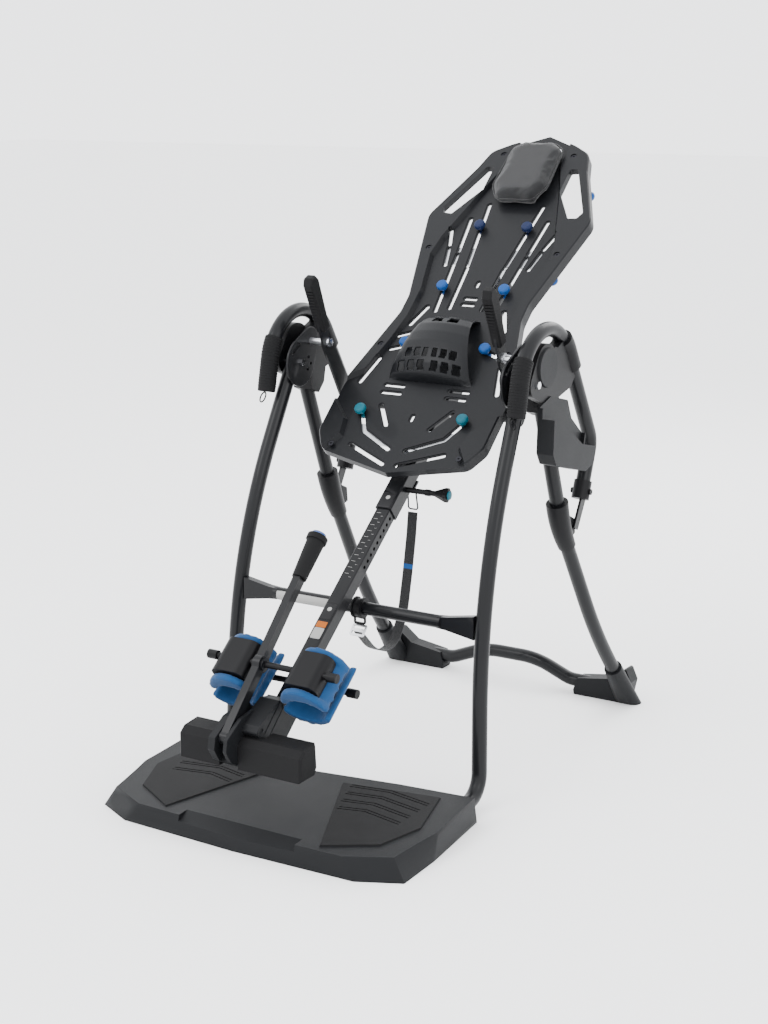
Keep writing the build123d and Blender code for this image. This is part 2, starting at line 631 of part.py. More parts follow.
# ---- trigger point knobs -----------------------------------------------------------------
with BuildPart() as knob:               # mushroom knob whose stem passes through a slot of the panel
    with BuildSketch(Plane.XY):
        Circle(7)
    extrude(amount=9)
    with BuildSketch(Plane.XY.offset(8)):
        Circle(14.5)
    extrude(amount=14)
    fillet(knob.edges().group_by(Axis.Z)[-1], 7)
    fillet(knob.faces().filter_by(Axis.Z).sort_by(Axis.Z)[1].edges().sort_by(SortBy.RADIUS)[-1], 3)
    with BuildSketch(Plane.XY):
        Circle(3.8)
    extrude(amount=-(PANEL_T + 1))
    with BuildSketch(Plane.XY.offset(-PANEL_T)):
        Circle(10)
    extrude(amount=-7)


def knob_group(places, name):
    top = bed_top(-DISH)
    save(Compound(children=[top.location * Location((x, s, 0)) * knob.part for x, s in places]), name)


knob_group([(-67, 342), (67, 342)], "knobs_head")
knob_group([(-86.4, 132), (86.4, 132), (-110, -56.8), (110, -56.8)], "knobs_middle")
knob_group([(-139, -272), (139, -272)], "knobs_hip")

# ---- carrier under the panel -------------------------------------------------------------
SLEEVE_A0, SLEEVE_A1 = 153.0, 905.0
HALF_IN = SHAFT_W / 2 + SLEEVE_GAP
HALF_OUT = HALF_IN + SLEEVE_WALL
PIN_A = 229.0
with BuildPart() as sleeve:
    with BuildSketch(shaft_section(SLEEVE_A0)):
        with Locations((0, -SHAFT_W / 2)):
            RectangleRounded(2 * HALF_OUT, 2 * HALF_OUT, 4)
            Rectangle(2 * HALF_IN, 2 * HALF_IN, mode=Mode.SUBTRACT)
    extrude(amount=-(SLEEVE_A1 - SLEEVE_A0))
    with BuildSketch(shaft_side(0)):
        with Locations((PIN_A, -SHAFT_W / 2)):
            Circle(4.05)
    extrude(amount=40, mode=Mode.SUBTRACT)
save(sleeve.part, "shaft_sleeve")

CROSS_A, CROSS_B, CROSS_R = 455.0, 20.7, 17.0
with BuildPart() as crossmember:
    with BuildSketch(shaft_side(0)):
        with Locations((CROSS_A, CROSS_B)):
            Circle(CROSS_R)
            Circle(CROSS_R - 2, mode=Mode.SUBTRACT)
    extrude(amount=234, both=True)
save(crossmember.part, "bed_crossmember")

cross_y = SHAFT_Y + CROSS_A * shaft_c - CROSS_B * shaft_s
cross_z = SHAFT_Z + CROSS_A * shaft_s + CROSS_B * shaft_c
ARM_X, ARM_T = 234.0, 6.0
LEVER_TIP = (-61.0, 1136.0)
with BuildPart() as hinge_arm:          # flat bar from the crossmember past the pivot, up into the hand lever
    with BuildSketch(side(ARM_X)):
        with Locations((cross_y, cross_z)):
            Circle(24)
        with Locations((PIVOT_Y, PIVOT_Z)):
            Circle(20)
        make_hull()
    extrude(amount=ARM_T)
    with BuildSketch(side(ARM_X)):
        with Locations((PIVOT_Y, PIVOT_Z)):
            Circle(19)
        with Locations((-40, 1086)):
            Circle(9)
        make_hull()
    extrude(amount=ARM_T)
    with BuildSketch(side(ARM_X)):
        with Locations((PIVOT_Y, PIVOT_Z)):
            Circle(PIN_R)
    extrude(amount=ARM_T, mode=Mode.SUBTRACT)
save_pair(hinge_arm.part, "hinge_arm")

lever_tilt = degrees(atan2(LEVER_TIP[1] - PIVOT_Z, LEVER_TIP[0] - PIVOT_Y))
lever_length = hypot(LEVER_TIP[1] - PIVOT_Z, LEVER_TIP[0] - PIVOT_Y)
lever_plane = Plane(origin=(ARM_X + ARM_T / 2, PIVOT_Y, PIVOT_Z),
                    x_dir=(0, cos(radians(lever_tilt)), sin(radians(lever_tilt))), z_dir=(1, 0, 0))
GRIP_FROM = 34.0
with BuildPart() as lever_grip:         # ribbed grip pushed over the arm's upper end
    with BuildSketch(lever_plane):
        with BuildLine():
            Polyline((GRIP_FROM, -14), (lever_length - 16, -19), (lever_length, -9), (lever_length, 9),
                     (lever_length - 16, 19), (GRIP_FROM, 14), close=True)
        make_face()
    extrude(amount=13, both=True)
    fillet(lever_grip.edges().filter_by(Axis.X), 4)
    chamfer(lever_grip.faces().sort_by(Axis.X)[-1].edges(), 4)
    chamfer(lever_grip.faces().sort_by(Axis.X)[0].edges(), 4)
    for i in range(14):
        with BuildSketch(lever_plane):
            with Locations((GRIP_FROM + 10 + 8 * i, -18), (GRIP_FROM + 10 + 8 * i, 18)):
                Rectangle(2.4, 6)
        extrude(amount=14, both=True, mode=Mode.SUBTRACT)
    add(hinge_arm.part, mode=Mode.SUBTRACT)
save_pair(lever_grip.part, "lever_grip")

with BuildPart() as pivot_pin:
    with BuildSketch(side(ARM_X)):
        with Locations((PIVOT_Y, PIVOT_Z)):
            Circle(PIN_R)
    extrude(amount=PLATE_X + PLATE_T + 1 - ARM_X)
    with BuildSketch(side(ARM_X + ARM_T)):
        with Locations((PIVOT_Y, PIVOT_Z)):
            Circle(12)
    extrude(amount=5)
save(Compound(children=[pivot_pin.part, mirror(pivot_pin.part, about=Plane.YZ)]), "pivot_pins")

with BuildPart() as arm_bolt:           # chromed dome head on the inner side of each arm
    with BuildSketch(side(ARM_X)):
        with Locations((PIVOT_Y, PIVOT_Z)):
            Circle(12)
    extrude(amount=-4)
    with BuildSketch(side(ARM_X - 4)):
        with Locations((PIVOT_Y, PIVOT_Z)):
            RegularPolygon(9.5, 6)
    extrude(amount=-6)
save(Compound(children=[arm_bolt.part, mirror(arm_bolt.part, about=Plane.YZ)]), "arm_bolts")


def bed_height(s, b):
    """Height over the bed's flanges of a point at s along the bed and b over the shaft's face."""
    lift = radians(BED_TILT - SHAFT_TILT)
    dy, dz = SHAFT_Y - BED_Y, SHAFT_Z - BED_Z
    base = -dy * bed_s + dz * bed_c - b * 0 + b * cos(lift)
    along = dy * bed_c + dz * bed_s + b * sin(lift)
    return base - (s - along) * sin(lift) / cos(lift)


with BuildPart() as brackets:           # a folded channel under the head end and one under the foot end
    for s, width in ((250, 300), (-330, 300)):
        low = bed_height(s, HALF_OUT - SHAFT_W / 2) + 2.2
        with BuildSketch(bed_side(0)):
            area((s - 24, -DISH - PANEL_T), (s + 24, -DISH - PANEL_T), (s + 20, low), (s - 20, low))
        extrude(amount=16, both=True)
        with BuildSketch(bed_side(0)):
            area((s - 25, -DISH - PANEL_T - 4), (s + 25, -DISH - PANEL_T - 4), (s + 21, low + 3), (s - 21, low + 3))
        extrude(amount=13, both=True, mode=Mode.SUBTRACT)
    for s, width in ((250, 300), (-330, 300)):
        with BuildSketch(bed_side(0)):
            with Locations((s, -DISH - PANEL_T - 2)):
                Rectangle(56, 4)
        extrude(amount=width / 2, both=True)
save(brackets.part, "panel_brackets")

HOOK_A = 262.0
with BuildPart() as tether_hook:        # bent wire loop under the sleeve
    with BuildSketch(shaft_side(RING_X - 14)):
        with Locations((HOOK_A, -SHAFT_W - 0.5 - SLEEVE_WALL - 2.5)):
            RectangleRounded(30, 5, 2)
    extrude(amount=28)
    hook_y = SHAFT_Y + HOOK_A * shaft_c + 44.5 * shaft_s
    hook_z = SHAFT_Z + HOOK_A * shaft_s - 44.5 * shaft_c
    add(bent_tube([(RING_X - 10, hook_y, hook_z + 1), (RING_X - 13, 4, 592), (RING_X + 13, 4, 592),
                   (RING_X + 10, hook_y, hook_z + 1)], [6, 6], outer=2, bore=0))
save(tether_hook.part, "tether_hook")

with BuildPart() as selector:
    with BuildSketch(shaft_side(SHAFT_W / 2 + 0.4)):
        with Locations((PIN_A, -SHAFT_W / 2)):
            Circle(4)
    extrude(amount=18)
    with BuildSketch(shaft_side(HALF_OUT + 0.5)):
        with Locations((PIN_A, -SHAFT_W / 2)):
            Circle(6.5)
    extrude(amount=74)
    with BuildSketch(shaft_side(HALF_OUT + 74)):
        with Locations((PIN_A, -SHAFT_W / 2)):
            Circle(6)
    with BuildSketch(shaft_side(HALF_OUT + 104)):
        with Locations((PIN_A, -SHAFT_W / 2)):
            RectangleRounded(30, 24, 5)
    loft()
    with BuildSketch(shaft_side(HALF_OUT + 104)):
        with Locations((PIN_A, -SHAFT_W / 2)):
            RectangleRounded(30, 24, 5)
    extrude(amount=8)
    with BuildSketch(shaft_side(HALF_OUT + 52)):
        with Locations((PIN_A, -SHAFT_W / 2)):
            Circle(8)
    extrude(amount=12)
save(selector.part, "selector_pin")

# ---- main shaft and ankle gear -----------------------------------------------------------
SHAFT_A0, SHAFT_A1 = -512.0, 340.0
HOLE_PITCH = 18.0
with BuildPart() as main_shaft:
    with BuildSketch(shaft_section(SHAFT_A0)):
        with Locations((0, -SHAFT_W / 2)):
            RectangleRounded(SHAFT_W, SHAFT_W, 3)
            Rectangle(SHAFT_W - 2 * SHAFT_WALL, SHAFT_W - 2 * SHAFT_WALL, mode=Mode.SUBTRACT)
    extrude(amount=-(SHAFT_A1 - SHAFT_A0))
    with BuildSketch(shaft_side(0)):
        with Locations(*[(PIN_A - HOLE_PITCH * i, -SHAFT_W / 2) for i in range(14)]):
            Circle(4.4)
    extrude(amount=30, mode=Mode.SUBTRACT)
    with BuildSketch(shaft_side(0)):
        with Locations(REAR_AXLE):
            Circle(7.05)
    extrude(amount=30, both=True, mode=Mode.SUBTRACT)
    with BuildSketch(shaft_top(0)):     # engraved setting marks
        for i in range(11):
            with Locations((-6, 140 - HOLE_PITCH * i)):
                Rectangle(12, 1.4)
            with Locations((6, 131 - HOLE_PITCH * i)):
                Rectangle(7, 1.2)
    extrude(amount=-0.6, mode=Mode.SUBTRACT)
save(main_shaft.part, "main_shaft")

HOUSING_LEFT, HOUSING_RIGHT = -58.0, 29.0
SLOT_HALF = LEVER_W / 2 + 2
with BuildPart() as ankle_housing:
    with BuildSketch(shaft_side(HOUSING_LEFT)):
        area((-392, -40), (-392, 14), (-420, 48), (-500, 66), (-516, 62), (-516, -44))
    extrude(amount=HOUSING_RIGHT - HOUSING_LEFT)
    with BuildSketch(shaft_side(HOUSING_LEFT)):     # two ears at the foot end carry the lever's pin
        area((-450, -20), (-450, 52), (-500, 82), (-560, 90), (-580, 72), (-584, 40), (-560, -20))
    extrude(amount=LEVER_X + SLOT_HALF + 9 - HOUSING_LEFT)
    fillet(ankle_housing.edges().filter_by(Axis.X), 5)
    with BuildSketch(shaft_section(-600)):
        with Locations((0, -SHAFT_W / 2)):
            Rectangle(SHAFT_W + 0.2, SHAFT_W + 0.2)
    extrude(amount=-240, mode=Mode.SUBTRACT)
    with BuildSketch(shaft_side(LEVER_X)):          # slot the lever lies in
        area((-380, 8), (-430, 30), (-540, 40), (-620, 30), (-620, 130), (-380, 130))
    extrude(amount=SLOT_HALF, both=True, mode=Mode.SUBTRACT)
    with BuildSketch(shaft_side(HOUSING_LEFT)):     # stepped back beside the left ankle cup
        with BuildLine():
            Polyline((-436, -60), (-436, 100), (-380, 100), (-380, -60), close=True)
        make_face()
    extrude(amount=29, mode=Mode.SUBTRACT)
    with BuildSketch(shaft_side(HOUSING_LEFT)):
        with Locations(LEVER_HINGE):
            Circle(5)
    extrude(amount=44, mode=Mode.SUBTRACT)
    with BuildSketch(shaft_side(HOUSING_RIGHT)):    # two long grooves and the screw wells on the right cheek
        with Locations((-458, 20), (-458, 40)):
            SlotCenterToCenter(80, 3, rotation=4)
        with Locations((-420, 30), (-500, 52), (-500, 2)):
            Circle(5)
    extrude(amount=-1.5, mode=Mode.SUBTRACT)
save(ankle_housing.part, "ankle_housing")

with BuildPart() as lever_pin:
    with BuildSketch(shaft_side(HOUSING_LEFT - 3)):
        with Locations(LEVER_HINGE):
            Circle(10)
    extrude(amount=3)
    with BuildSketch(shaft_side(HOUSING_LEFT)):
        with Locations(LEVER_HINGE):
            Circle(5)
    extrude(amount=44)
save(lever_pin.part, "lever_pin")

BLOCK = [(-697, 168), (-697, 222), (-680, 236), (-636, 240), (-632, 186), (-640, 168)]
SHALLOW = [(-697, 168), (-697, 222), (-680, 236), (-662, 238), (-662, 168)]
EAR_LEFT = HOUSING_LEFT - 0.1
EAR_RIGHT = LEVER_X + SLOT_HALF + 9.1
with BuildPart() as foot_rests:         # two blocks to stand on, either side of the lever's ears
    for x0, x1, outline in ((-165.0, EAR_LEFT, BLOCK), (EAR_RIGHT, 40.0, SHALLOW), (40.0, 150.0, BLOCK)):
        with BuildSketch(side(x0)):
            area(*outline)
        extrude(amount=x1 - x0)
    for corner_face in (foot_rests.faces().sort_by(Axis.X)[0], foot_rests.faces().sort_by(Axis.X)[-1]):
        chamfer(corner_face.edges(), 5)
    add(ankle_housing.part, mode=Mode.SUBTRACT)
save(foot_rests.part, "foot_rests")


def axle(place, half, name):
    """Round axle with a larger knurled cap on each end."""
    with BuildPart() as bar:
        with BuildSketch(shaft_side(0)):
            with Locations(place):
                Circle(7)
        extrude(amount=half, both=True)
        for end in (-half, half - 24):
            with BuildSketch(shaft_side(end)):
                with Locations(place):
                    Circle(10.5)
            extrude(amount=24)
    save(bar.part, name)


axle(FRONT_AXLE, 166, "front_axle")
axle(REAR_AXLE, 158, "rear_axle")


with BuildPart() as front_cushions:
    for x in (-CUP_X, CUP_X):
        with BuildSketch(shaft_section(-420)):
            with Locations((x, CUP_MID)):
                Ellipse(60, 44)
                Ellipse(45, 29, mode=Mode.SUBTRACT)
            with Locations((x, CUP_MID - 26)):
                Rectangle(130, 66, mode=Mode.SUBTRACT)
        extrude(amount=-112)
        for a_low in (-424, -320):      # upturned rim at each end
            with BuildSketch(shaft_section(a_low)):
                with Locations((x, CUP_MID)):
                    Ellipse(60, 66)
                    Ellipse(45, 29, mode=Mode.SUBTRACT)
                with Locations((x, CUP_MID - 36)):
                    Rectangle(130, 86, mode=Mode.SUBTRACT)
            extrude(amount=-16)
save(front_cushions.part, "front_cushions")

with BuildPart() as rear_cushions:
    for x in (-CUP_X, CUP_X):
        with BuildSketch(shaft_section(-430)):
            with Locations((x, CUP_MID)):
                Ellipse(62, 46)
                Ellipse(47, 31, mode=Mode.SUBTRACT)
            with Locations((x, CUP_MID + 28)):
                Rectangle(134, 70, mode=Mode.SUBTRACT)
        extrude(amount=-140)
save(rear_cushions.part, "rear_cushions")

with BuildPart() as cup_cores:          # stiff backs that hold the front cushions to their axle
    for x in (-CUP_X, CUP_X):
        with BuildSketch(shaft_section(-407.5)):
            with Locations((x, CUP_MID + 46)):
                RectangleRounded(84, 50, 20)
            with Locations((x, CUP_MID)):
                Ellipse(60.3, 44.3, mode=Mode.SUBTRACT)
        extrude(amount=-87)
    with BuildSketch(shaft_side(0)):
        with Locations(FRONT_AXLE):
            Circle(7.05)
    extrude(amount=200, both=True, mode=Mode.SUBTRACT)
save(cup_cores.part, "front_cup_backs")

LEVER_TOP_A, LEVER_TOP_B = -40.0, 128.0
lever_dir = Vector(LEVER_TOP_A - LEVER_HINGE[0], LEVER_TOP_B - LEVER_HINGE[1]).normalized()


def lever_point(distance, out=0.0):
    """Point on the lever's line, measured from its hinge, in the shaft's side plane."""
    return (LEVER_HINGE[0] + lever_dir.X * distance - lever_dir.Y * out,
            LEVER_HINGE[1] + lever_dir.Y * distance + lever_dir.X * out)


def lever_bar(start, end, half, half_end=None):
    half_end = half_end or half
    return [lever_point(start, -half), lever_point(end, -half_end), lever_point(end, half_end),
            lever_point(start, half)]


LEVER_LEN = hypot(LEVER_TOP_A - LEVER_HINGE[0], LEVER_TOP_B - LEVER_HINGE[1])
HUB_AT = 182.0
with BuildPart() as ankle_lever:
    with BuildSketch(shaft_side(LEVER_X)):
        with BuildLine():
            Polyline(*lever_bar(0, LEVER_LEN - 20, 12), close=True)
        make_face()
        with Locations(LEVER_HINGE):
            Circle(14)
        with Locations(FRONT_AXLE):
            Circle(20)
    extrude(amount=LEVER_W / 2, both=True)
    with BuildSketch(shaft_side(LEVER_X)):
        with Locations(FRONT_AXLE):
            Circle(15)
    extrude(amount=13.5, both=True)
    with BuildSketch(shaft_side(0)):
        with Locations(FRONT_AXLE):
            Circle(7.05)
    extrude(amount=200, both=True, mode=Mode.SUBTRACT)
    with BuildSketch(shaft_side(0)):
        with Locations(LEVER_HINGE):
            Circle(5 + RUNNING)
    extrude(amount=100, both=True, mode=Mode.SUBTRACT)
save(ankle_lever.part, "ankle_lever")

grip_a, grip_b = lever_point(LEVER_LEN - 110)
grip_origin = (LEVER_X, SHAFT_Y + grip_a * shaft_c - grip_b * shaft_s, SHAFT_Z + grip_a * shaft_s + grip_b * shaft_c)
grip_axis = (0, lever_dir.X * shaft_c - lever_dir.Y * shaft_s, lever_dir.X * shaft_s + lever_dir.Y * shaft_c)
with BuildPart() as lever_handle:       # tapered rubber grip on the lever
    with BuildSketch(Plane(origin=grip_origin, x_dir=(1, 0, 0), z_dir=grip_axis)):
        Circle(17)
    with BuildSketch(Plane(origin=grip_origin, x_dir=(1, 0, 0), z_dir=grip_axis).offset(96)):
        Circle(21)
    loft()
    with BuildSketch(Plane(origin=grip_origin, x_dir=(1, 0, 0), z_dir=grip_axis).offset(96)):
        Circle(24)
    extrude(amount=14)
    fillet(lever_handle.edges().filter_by(GeomType.CIRCLE).sort_by(SortBy.RADIUS)[-1], 2)
    add(ankle_lever.part, mode=Mode.SUBTRACT)
save(lever_handle.part, "lever_handle")

with BuildPart() as handle_cap:
    with BuildSketch(Plane(origin=grip_origin, x_dir=(1, 0, 0), z_dir=grip_axis).offset(110)):
        Circle(19)
    extrude(amount=7, taper=20)
save(handle_cap.part, "handle_cap")
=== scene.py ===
"""Looks of the inversion table: materials, padding, strap, small details, floor, light and camera."""
import json
import math

import bmesh
import bpy
from mathutils import Matrix, Vector


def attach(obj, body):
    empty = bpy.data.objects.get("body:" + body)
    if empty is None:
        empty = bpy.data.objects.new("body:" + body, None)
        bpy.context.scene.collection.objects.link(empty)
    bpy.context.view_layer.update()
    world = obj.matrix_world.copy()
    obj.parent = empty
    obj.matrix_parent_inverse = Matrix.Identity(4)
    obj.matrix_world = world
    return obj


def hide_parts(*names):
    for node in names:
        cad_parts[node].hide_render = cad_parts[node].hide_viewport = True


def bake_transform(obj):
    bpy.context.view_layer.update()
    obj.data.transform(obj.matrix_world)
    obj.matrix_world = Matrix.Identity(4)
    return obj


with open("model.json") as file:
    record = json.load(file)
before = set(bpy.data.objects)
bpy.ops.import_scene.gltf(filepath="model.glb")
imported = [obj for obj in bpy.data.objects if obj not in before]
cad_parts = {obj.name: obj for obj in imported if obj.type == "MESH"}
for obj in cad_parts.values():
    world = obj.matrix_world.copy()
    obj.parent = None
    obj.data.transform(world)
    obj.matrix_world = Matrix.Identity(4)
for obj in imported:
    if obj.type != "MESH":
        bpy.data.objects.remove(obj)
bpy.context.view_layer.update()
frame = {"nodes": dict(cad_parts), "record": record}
NODES = frame["nodes"]

# The machine's own inclined axes, as in part.py, in metres.
BED_TILT = math.radians(41.5)
BED_ORIGIN = Vector((0, 0.211, 1.0))
BED_S = Vector((0, math.cos(BED_TILT), math.sin(BED_TILT)))
BED_H = Vector((0, -math.sin(BED_TILT), math.cos(BED_TILT)))
SHAFT_TILT = math.radians(38.4)
SHAFT_ORIGIN = Vector((0, -0.2375, 0.5222))
SHAFT_A = Vector((0, math.cos(SHAFT_TILT), math.sin(SHAFT_TILT)))
SHAFT_B = Vector((0, -math.sin(SHAFT_TILT), math.cos(SHAFT_TILT)))
SIDEWAYS = Vector((1, 0, 0))


def bed(x, s, h):
    """A point from millimetres across, along and above the bed's flanges."""
    return BED_ORIGIN + (SIDEWAYS * x + BED_S * s + BED_H * h) / 1000


def shaft(x, a, b):
    """A point from millimetres across, along and above the shaft's upper face."""
    return SHAFT_ORIGIN + (SIDEWAYS * x + SHAFT_A * a + SHAFT_B * b) / 1000


# ---- materials ---------------------------------------------------------------------------
def material(name, color, rough, metal=0.0, grain=0.0, grain_size=400.0, spread=0.06, coat=0.0, sheen=0.0,
             weave=0.0, vary=0.12, gloss=0.13):
    """A Principled material whose roughness, tint and fine relief come from noise."""
    made = bpy.data.materials.new(name)
    made.use_nodes = True
    nodes, links = made.node_tree.nodes, made.node_tree.links
    shader = nodes["Principled BSDF"]
    shader.inputs["Metallic"].default_value = metal
    shader.inputs["Coat Weight"].default_value = coat
    shader.inputs["Sheen Weight"].default_value = sheen
    shader.inputs["Specular IOR Level"].default_value = gloss
    place = nodes.new("ShaderNodeTexCoord")
    cloud = nodes.new("ShaderNodeTexNoise")
    cloud.inputs["Scale"].default_value = 9.0
    cloud.inputs["Detail"].default_value = 6.0
    links.new(place.outputs["Object"], cloud.inputs["Vector"])
    tint = nodes.new("ShaderNodeMixRGB")
    tint.inputs["Color1"].default_value = (*[c * (1 - vary) for c in color], 1)
    tint.inputs["Color2"].default_value = (*[min(1, c * (1 + vary)) for c in color], 1)
    links.new(cloud.outputs["Fac"], tint.inputs["Fac"])
    links.new(tint.outputs["Color"], shader.inputs["Base Color"])
    ramp = nodes.new("ShaderNodeMapRange")
    ramp.inputs["To Min"].default_value = max(0.02, rough - spread)
    ramp.inputs["To Max"].default_value = min(1.0, rough + spread)
    links.new(cloud.outputs["Fac"], ramp.inputs["Value"])
    links.new(ramp.outputs["Result"], shader.inputs["Roughness"])
    if grain:
        fine = nodes.new("ShaderNodeTexNoise")
        fine.inputs["Scale"].default_value = grain_size
        fine.inputs["Detail"].default_value = 3.0
        links.new(place.outputs["Object"], fine.inputs["Vector"])
        bump = nodes.new("ShaderNodeBump")
        bump.inputs["Strength"].default_value = grain
        bump.inputs["Distance"].default_value = 0.0006
        links.new(fine.outputs["Fac"], bump.inputs["Height"])
        links.new(bump.outputs["Normal"], shader.inputs["Normal"])
        if weave:
            thread = nodes.new("ShaderNodeTexWave")
            thread.inputs["Scale"].default_value = weave
            thread.inputs["Distortion"].default_value = 1.5
            links.new(place.outputs["Object"], thread.inputs["Vector"])
            second = nodes.new("ShaderNodeBump")
            second.inputs["Strength"].default_value = 0.5
            second.inputs["Distance"].default_value = 0.0008
            links.new(thread.outputs["Fac"], second.inputs["Height"])
            links.new(bump.outputs["Normal"], second.inputs["Normal"])
            links.new(second.outputs["Normal"], shader.inputs["Normal"])
    return made


LOOKS = {
    "black_paint": material("tube_paint", (0.0036, 0.0038, 0.0046), 0.36, grain=0.12, grain_size=900,
                            coat=0.12),
    "charcoal_plastic": material("charcoal_plastic", (0.0052, 0.0056, 0.0064), 0.5, grain=0.3,
                                 grain_size=1400),
    "black_plastic": material("black_plastic", (0.0028, 0.0028, 0.0034), 0.42, grain=0.2, grain_size=1400),
    "blue_grey_plastic": material("panel_plastic", (0.0050, 0.0054, 0.0064), 0.4, grain=0.22,
                                  grain_size=1600, coat=0.05),
    "black_rubber": material("black_rubber", (0.0034, 0.0034, 0.0038), 0.66, grain=0.35, grain_size=1100),
    "black_fabric": material("pillow_fabric", (0.0045, 0.0047, 0.0055), 0.8, grain=0.5, grain_size=1500,
                             sheen=0.25, weave=420),
    "webbing": material("webbing", (0.0045, 0.0047, 0.0055), 0.8, grain=0.4, grain_size=1200, sheen=0.2,
                        weave=500),
    "blue_foam": material("blue_foam", (0.003, 0.038, 0.115), 0.62, grain=0.4, grain_size=1300, sheen=0.1),
    "blue_plastic": material("blue_plastic", (0.008, 0.05, 0.19), 0.3, coat=0.3, gloss=0.5),
    "navy_rubber": material("navy_rubber", (0.006, 0.012, 0.042), 0.4, grain=0.1),
    "blue_rubber": material("blue_rubber", (0.006, 0.05, 0.19), 0.36, grain=0.1),
    "teal_rubber": material("teal_rubber", (0.004, 0.075, 0.105), 0.38, grain=0.1),
    "steel": material("bracket_steel", (0.55, 0.56, 0.58), 0.33, metal=1.0, grain=0.1, grain_size=700,
                      gloss=0.5),
    "chrome": material("chrome", (0.78, 0.79, 0.82), 0.12, metal=1.0, spread=0.04, gloss=0.5),
    "black_screw": material("screw_black", (0.02, 0.02, 0.024), 0.28, metal=0.6),
}
LABEL_WHITE = material("label_white", (0.30, 0.30, 0.29), 0.45, grain=0.05)
LABEL_ORANGE = material("label_orange", (0.34, 0.09, 0.01), 0.45, grain=0.05)
LABEL_BLACK = material("label_black", (0.012, 0.012, 0.013), 0.4)
MARK_BLUE = material("mark_blue", (0.008, 0.05, 0.17), 0.75, grain=0.3)

slot_of = {entry["node"]: entry["material_slot"] for entry in frame["record"]["subparts"]}
for name, node in NODES.items():
    node.data.materials.clear()
    node.data.materials.append(LOOKS[slot_of[name]])
NODES["tether_hook"].data.materials[0] = LOOKS["black_screw"]


def shade(obj, angle=32):
    """Smooth shading that keeps edges sharper than the angle."""
    for face in obj.data.polygons:
        face.use_smooth = True
    obj.data.set_sharp_from_angle(angle=math.radians(angle))


def new_piece(name, mesh_data, look, body):
    """Adds a mesh to the scene, gives it a material and lets it ride on a body."""
    obj = bpy.data.objects.new(name, mesh_data)
    bpy.context.scene.collection.objects.link(obj)
    obj.data.materials.clear()
    obj.data.materials.append(LOOKS[look] if isinstance(look, str) else look)
    if body:
        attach(obj, body)
    return obj


def from_bmesh(name, bm, look, body, smooth=32):
    """Turns a finished bmesh into a smooth-shaded piece and frees it."""
    data = bpy.data.meshes.new(name)
    bm.normal_update()
    bm.to_mesh(data)
    bm.free()
    obj = new_piece(name, data, look, body)
    shade(obj, smooth)
    return obj


# softer edges on the moulded pieces; the importer splits corners, so they are welded first
for moulded, radius in (("platform", 0.0022), ("foot_rests", 0.0035), ("ankle_housing", 0.0015),
                        ("storage_caddy", 0.0018), ("rear_foot_left", 0.0018), ("rear_foot_right", 0.0018)):
    weld = NODES[moulded].modifiers.new("weld", "WELD")
    weld.merge_threshold = 0.00002
    soft_edge = NODES[moulded].modifiers.new("soft_edge", "BEVEL")
    soft_edge.width = radius
    soft_edge.segments = 3
    soft_edge.limit_method = "ANGLE"
    soft_edge.angle_limit = math.radians(28)
    soft_edge.use_clamp_overlap = True
    soft_edge.harden_normals = True


# ---- padding: each soft solid is filled and smoothed by a short cloth simulation ---------
def apply_modifiers(obj):
    """Bakes an object's modifiers into its mesh."""
    bpy.context.view_layer.update()
    graph = bpy.context.evaluated_depsgraph_get()
    data = bpy.data.meshes.new_from_object(obj.evaluated_get(graph))
    obj.modifiers.clear()
    obj.data = data


CLOTH_FRAMES = 20


def cushion(node_name, name, look, body, pressure, cap, voxel=0.005, rounds=5):
    """Copies a CAD cushion, rounds it, inflates it as cloth and limits how far it may leave its place."""
    source = NODES[node_name]
    data = source.data.copy()
    data.transform(source.matrix_world)
    obj = bpy.data.objects.new(name, data)
    bpy.context.scene.collection.objects.link(obj)
    remesh = obj.modifiers.new("remesh", "REMESH")
    remesh.mode = "VOXEL"
    remesh.voxel_size = voxel
    even = obj.modifiers.new("even", "SMOOTH")
    even.factor = 0.5
    even.iterations = rounds
    apply_modifiers(obj)
    rest = [v.co.copy() for v in obj.data.vertices]
    cloth = obj.modifiers.new("cloth", "CLOTH")
    cloth.settings.use_pressure = True
    cloth.settings.uniform_pressure_force = pressure
    cloth.settings.quality = 5
    cloth.settings.tension_stiffness = 25
    cloth.settings.compression_stiffness = 25
    cloth.settings.bending_stiffness = 2.0
    cloth.settings.effector_weights.gravity = 0.0
    cloth.collision_settings.use_self_collision = False
    cloth.point_cache.frame_end = CLOTH_FRAMES
    for step in range(1, CLOTH_FRAMES + 1):
        bpy.context.scene.frame_set(step)
    apply_modifiers(obj)
    bpy.context.scene.frame_set(1)
    for vertex, start in zip(obj.data.vertices, rest):
        moved = vertex.co - start
        if moved.length > cap:
            vertex.co = start + moved.normalized() * cap
    soft = obj.modifiers.new("soft", "SMOOTH")
    soft.factor = 0.5
    soft.iterations = 3
    apply_modifiers(obj)
    obj.data.materials.clear()
    obj.data.materials.append(LOOKS[look])
    shade(obj, 80)
    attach(obj, body)
    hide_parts(node_name)
    return obj


cushion("head_pillow", "pillow_soft", "black_fabric", "table", 5.0, 0.004, rounds=8)
for foam, carrier in (("front_cushions", "ankle_lever"), ("rear_cushions", "main_shaft")):
    cushion(foam, foam + "_soft", "blue_foam", carrier, 2.0, 0.0012, voxel=0.004, rounds=4)


def around_once(count):
    """Evenly spaced angles round a circle."""
    return [2 * math.pi * k / count for k in range(count)]


